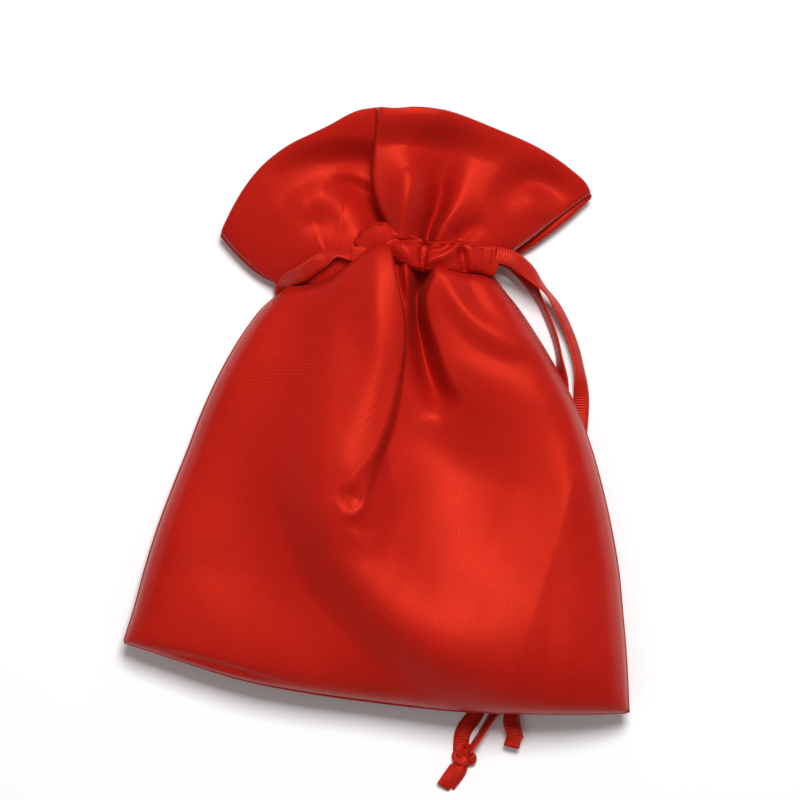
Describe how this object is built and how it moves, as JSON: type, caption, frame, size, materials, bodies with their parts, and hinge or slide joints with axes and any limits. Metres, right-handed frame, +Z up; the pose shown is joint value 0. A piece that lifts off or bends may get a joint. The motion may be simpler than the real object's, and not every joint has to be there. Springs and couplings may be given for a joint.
{
  "type": "fabric gift sack",
  "caption": "Satin drawstring gift sack lying on its back: gathered neck with stitched casings, frill, and knotted ribbon drawstrings.",
  "frame": {"origin": "on the surface the sack lies on, under the middle of the sack's outline without its free ribbons", "axes": "+X to the sack's right seen from above, +Y from the bottom seam to the mouth, +Z up from the surface"},
  "size_m": [0.1193, 0.1602, 0.0241],
  "materials": {
    "satin": "red polyester satin, soft sheen",
    "seam_edge": "turned-in cloth edge, overlocked",
    "thread": "polyester sewing thread",
    "ribbon": "narrow woven satin ribbon"
  },
  "bodies": {
    "sack": {"front_panel": "satin", "back_panel": "satin", "front_casing": "satin", "back_casing": "satin", "left_side_seam": "seam_edge", "right_side_seam": "seam_edge", "bottom_seam": "seam_edge", "front_upper_stitches": "thread", "front_lower_stitches": "thread", "back_upper_stitches": "thread", "back_lower_stitches": "thread"},
    "frill": {"front_frill": "satin", "back_frill": "satin", "left_frill_seam": "seam_edge", "right_frill_seam": "seam_edge"},
    "right_drawstring": {"right_drawstring_run": "ribbon", "right_outer_strand": "ribbon", "right_inner_strand": "ribbon", "right_knot": "ribbon", "right_tails": "ribbon"},
    "left_drawstring": {"left_drawstring_run": "ribbon", "left_front_strand": "ribbon", "left_back_strand": "ribbon", "left_knot": "ribbon", "left_tails": "ribbon"}
  },
  "joints": [
    {"name": "frill_fold", "type": "hinge", "parent": "sack", "child": "frill", "pos_m": [0.003, 0.041, 0.0138], "axis": [1, 0, 0], "range_deg": [0, 60]},
    {"name": "right_pull", "type": "slide", "parent": "sack", "child": "right_drawstring", "axis": [1, 0, 0], "range_m": [0, 0.015]},
    {"name": "left_pull", "type": "slide", "parent": "sack", "child": "left_drawstring", "axis": [-1, 0, 0], "range_m": [0, 0.015]}
  ]
}
